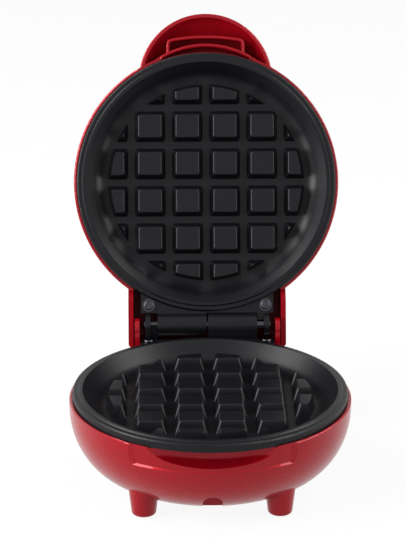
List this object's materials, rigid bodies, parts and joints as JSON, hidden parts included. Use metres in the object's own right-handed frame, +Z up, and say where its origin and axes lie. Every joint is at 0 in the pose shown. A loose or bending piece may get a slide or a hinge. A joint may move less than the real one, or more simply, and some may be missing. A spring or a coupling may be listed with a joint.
{
  "type": "mini waffle maker",
  "caption": "Small round waffle maker with a hinged domed lid, half-moon handle and a non-stick dish with square posts in base and lid.",
  "frame": {"origin": "on the table, under the middle of the box round the opened object", "axes": "+Z up, -Y towards the user, +X to the right of the user, hinge axis along X at the back"},
  "size_m": [0.128, 0.1926, 0.1877],
  "materials": {
    "red_paint": "metallic red paint, gloss clear coat, on moulded plastic",
    "nonstick_casting": "die-cast aluminium with black non-stick coating, satin",
    "pad_rubber": "matt black rubber",
    "pin_steel": "bright drawn steel",
    "black_screw": "black oxide",
    "element_sheath": "annealed steel sheath",
    "reflector_sheet": "aluminised steel sheet",
    "plain_screw": "zinc plated",
    "thermostat_body": "moulded phenolic with a metal cap",
    "fuse_sleeve": "woven glass sleeve over a metal case",
    "gland_rubber": "matt black rubber",
    "black_plastic": "moulded, matt",
    "lens_plastic": "clear red",
    "lamp_glass": "clear glass",
    "ceramic_holder": "unglazed"
  },
  "bodies": {
    "base": {"base_shell": "red_paint", "lower_plate": "nonstick_casting", "foot_pad_front_left": "pad_rubber", "foot_pad_front_right": "pad_rubber", "foot_pad_rear_left": "pad_rubber", "foot_pad_rear_right": "pad_rubber", "hinge_pin": "pin_steel", "lower_plate_screws": "black_screw", "lower_heating_element": "element_sheath", "lower_heat_reflector": "reflector_sheet", "lower_reflector_screws": "plain_screw", "thermostat": "thermostat_body", "thermostat_strap": "reflector_sheet", "thermostat_screws": "plain_screw", "thermal_fuse": "fuse_sleeve", "fuse_clip": "reflector_sheet", "fuse_clip_screw": "plain_screw", "cord_gland": "gland_rubber", "gland_nut": "black_plastic"},
    "lid": {"lid_shell": "red_paint", "upper_plate": "nonstick_casting", "upper_plate_screws": "black_screw", "upper_heating_element": "element_sheath", "upper_heat_reflector": "reflector_sheet", "upper_reflector_screws": "plain_screw", "indicator_lens": "lens_plastic", "indicator_lamp": "lamp_glass", "lamp_holder": "ceramic_holder"}
  },
  "joints": [
    {"name": "lid_hinge", "type": "hinge", "parent": "base", "child": "lid", "pos_m": [0, 0.03626, 0.0474], "axis": [1, 0, 0], "range_deg": [0, 110]}
  ]
}
